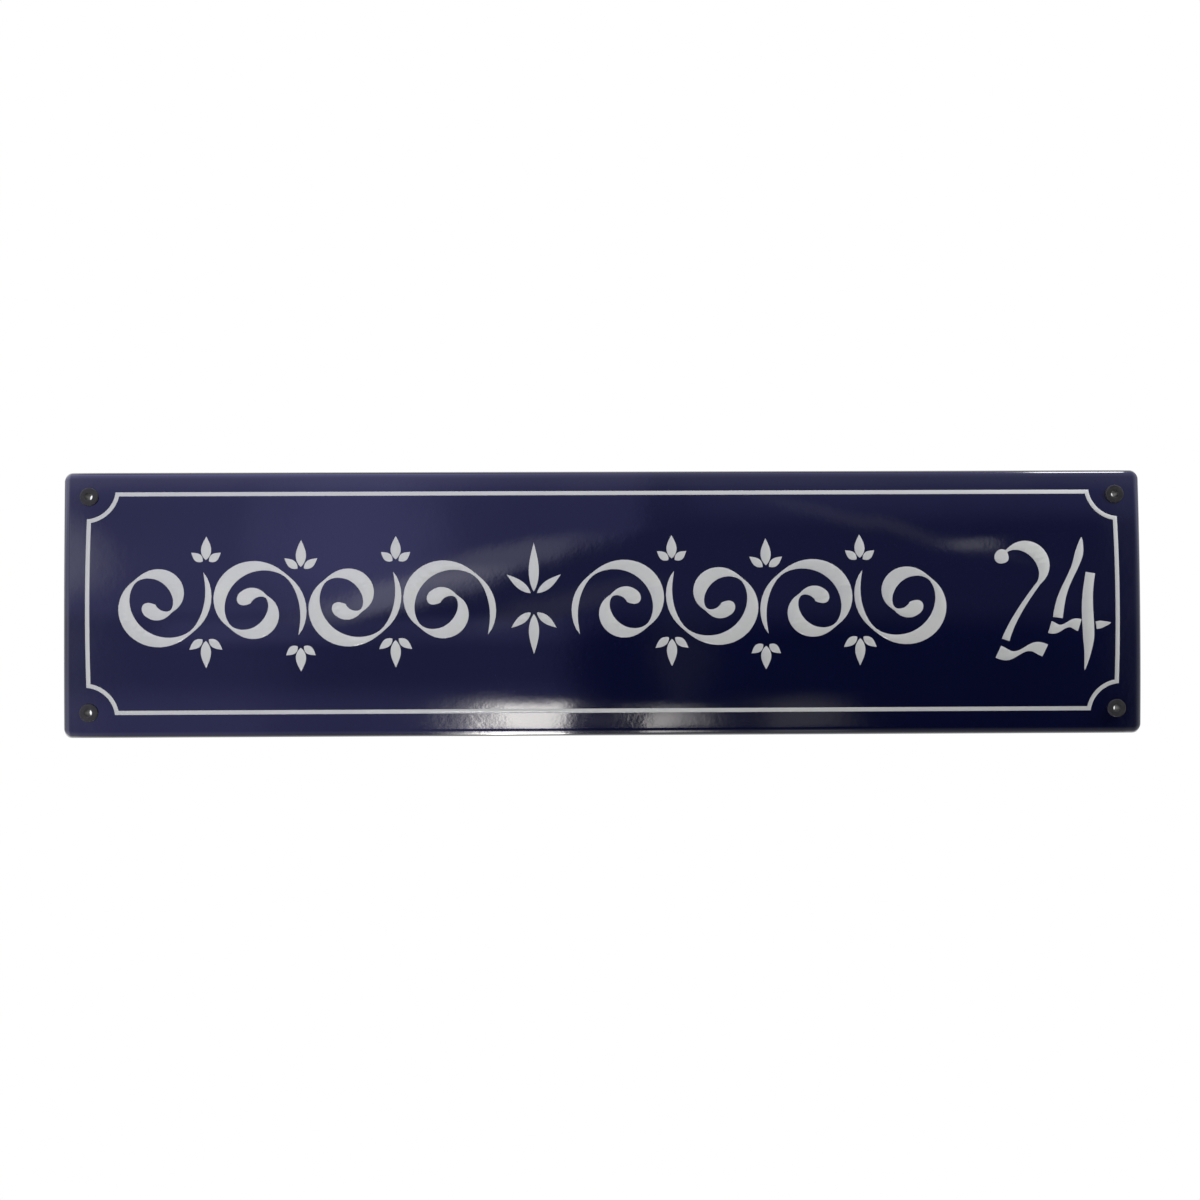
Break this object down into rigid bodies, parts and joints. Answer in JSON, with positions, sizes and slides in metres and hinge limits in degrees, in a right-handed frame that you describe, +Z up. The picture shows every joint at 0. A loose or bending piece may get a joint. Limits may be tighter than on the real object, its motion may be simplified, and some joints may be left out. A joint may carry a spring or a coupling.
{
  "type": "street name sign",
  "caption": "Long domed enamelled steel plate with a turned back edge, a white line with notched corners, and rubber spacer grommets in its corner holes.",
  "frame": {"origin": "centre of the four fixing holes, in the wall plane that the rear rim and the grommets' backs lie in", "axes": "+X along the sign to its right end as read from the front, +Z up, +Y into the wall; the face looks along -Y"},
  "size_m": [0.5998, 0.0167, 0.1474],
  "materials": {
    "blue_enamel": "gloss vitreous enamel",
    "white_enamel": "gloss vitreous enamel",
    "black_rubber": "matte"
  },
  "bodies": {
    "root": {"sign_plate": "blue_enamel", "white_border": "white_enamel", "grommet_top_left": "black_rubber", "grommet_top_right": "black_rubber", "grommet_bottom_left": "black_rubber", "grommet_bottom_right": "black_rubber"}
  },
  "joints": []
}
